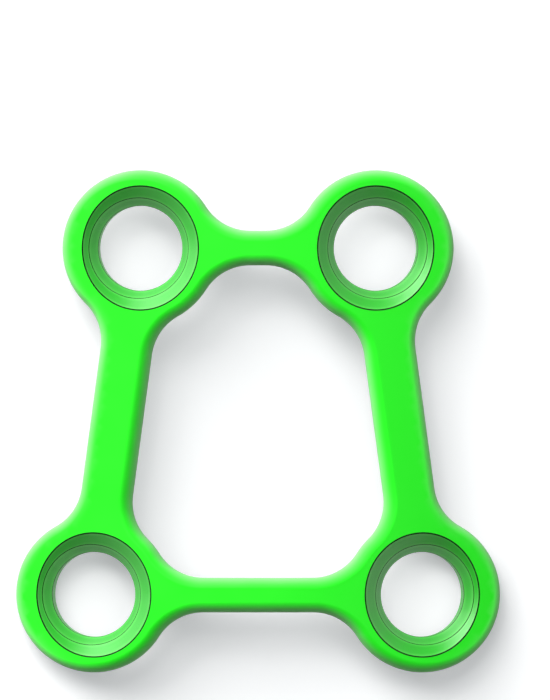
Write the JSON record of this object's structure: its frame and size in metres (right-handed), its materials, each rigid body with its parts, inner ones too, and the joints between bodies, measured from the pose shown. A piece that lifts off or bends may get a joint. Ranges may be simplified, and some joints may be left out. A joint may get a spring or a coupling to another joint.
{
  "type": "orthopedic bone plate",
  "caption": "Small arched bone plate: a tapered open frame of slim bars whose corner rings carry leaning countersunk screw holes.",
  "frame": {"origin": "centre of the plate's outline in plan, at the lowest point of its bone side", "axes": "+Y towards the narrow end, +X across the plate, +Z out of the arched outer face that carries the countersinks"},
  "size_m": [0.028, 0.029, 0.0045],
  "materials": {
    "anodised_plate": "satin green anodised titanium"
  },
  "bodies": {
    "root": {"bone_plate": "anodised_plate"}
  },
  "joints": []
}
